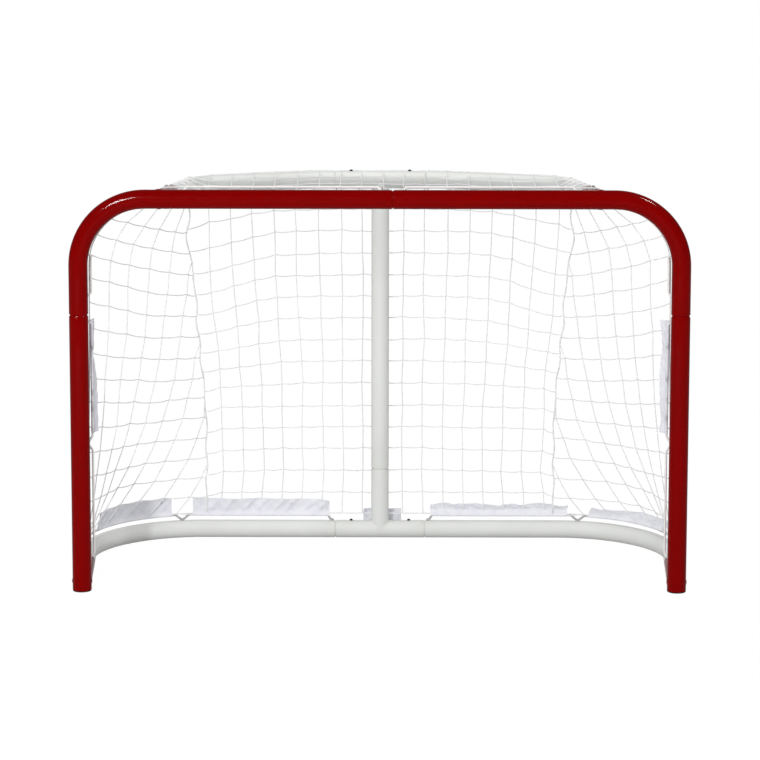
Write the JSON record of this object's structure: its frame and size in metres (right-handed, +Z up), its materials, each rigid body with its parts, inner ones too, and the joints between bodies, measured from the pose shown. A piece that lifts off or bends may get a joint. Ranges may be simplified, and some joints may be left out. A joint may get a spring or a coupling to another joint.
{
  "type": "hockey goal",
  "caption": "Knock-down hockey goal: a red round-tube mouth with a white base and top shelf behind it, joined by slip joints, carrying a knotted net.",
  "frame": {"origin": "on the ground, at the middle of the goal's width and depth", "axes": "-Y is the side of the mouth, +Z up, +X to the right seen from the front"},
  "size_m": [2.0048, 0.8312, 1.2879],
  "materials": {
    "red_paint": "glossy powder coat",
    "white_paint": "satin powder coat",
    "zinc_rod": "dull zinc plate",
    "dark_zinc": "dark zinc plate",
    "black_plastic": "moulded",
    "canvas": "woven canvas",
    "net_cord": "twisted cord"
  },
  "bodies": {
    "root": {"left_crossbar_corner": "red_paint", "right_crossbar_corner": "red_paint", "left_post": "red_paint", "right_post": "red_paint", "left_base_tube": "white_paint", "right_base_tube": "white_paint", "left_shelf_tube": "white_paint", "right_shelf_tube": "white_paint", "base_tee": "white_paint", "centre_post": "white_paint", "base_tee_left_screw": "dark_zinc", "base_tee_right_screw": "dark_zinc", "shelf_tee_left_screw": "dark_zinc", "shelf_tee_right_screw": "dark_zinc", "left_base_screw": "dark_zinc", "right_base_screw": "dark_zinc", "left_shelf_screw": "dark_zinc", "right_shelf_screw": "dark_zinc", "left_post_screw": "dark_zinc", "right_post_screw": "dark_zinc", "crossbar_screw": "dark_zinc", "centre_post_screw": "dark_zinc", "left_base_rod": "zinc_rod", "right_base_rod": "zinc_rod", "left_post_rod": "zinc_rod", "right_post_rod": "zinc_rod", "left_corner_rod": "zinc_rod", "right_corner_rod": "zinc_rod", "left_crossbar_rod": "zinc_rod", "right_crossbar_rod": "zinc_rod", "tee_rod": "zinc_rod", "left_rear_flap": "canvas", "right_rear_flap": "canvas", "left_curve_flap": "canvas", "right_curve_flap": "canvas", "left_post_flap": "canvas", "right_post_flap": "canvas", "tee_flap": "canvas", "net_top": "net_cord", "net_back_left": "net_cord", "net_back_centre": "net_cord", "net_back_right": "net_cord", "net_left_front": "net_cord", "net_left_middle": "net_cord", "net_left_rear": "net_cord", "net_right_front": "net_cord", "net_right_middle": "net_cord", "net_right_rear": "net_cord", "left_foot_plug": "black_plastic", "right_foot_plug": "black_plastic"}
  },
  "joints": []
}
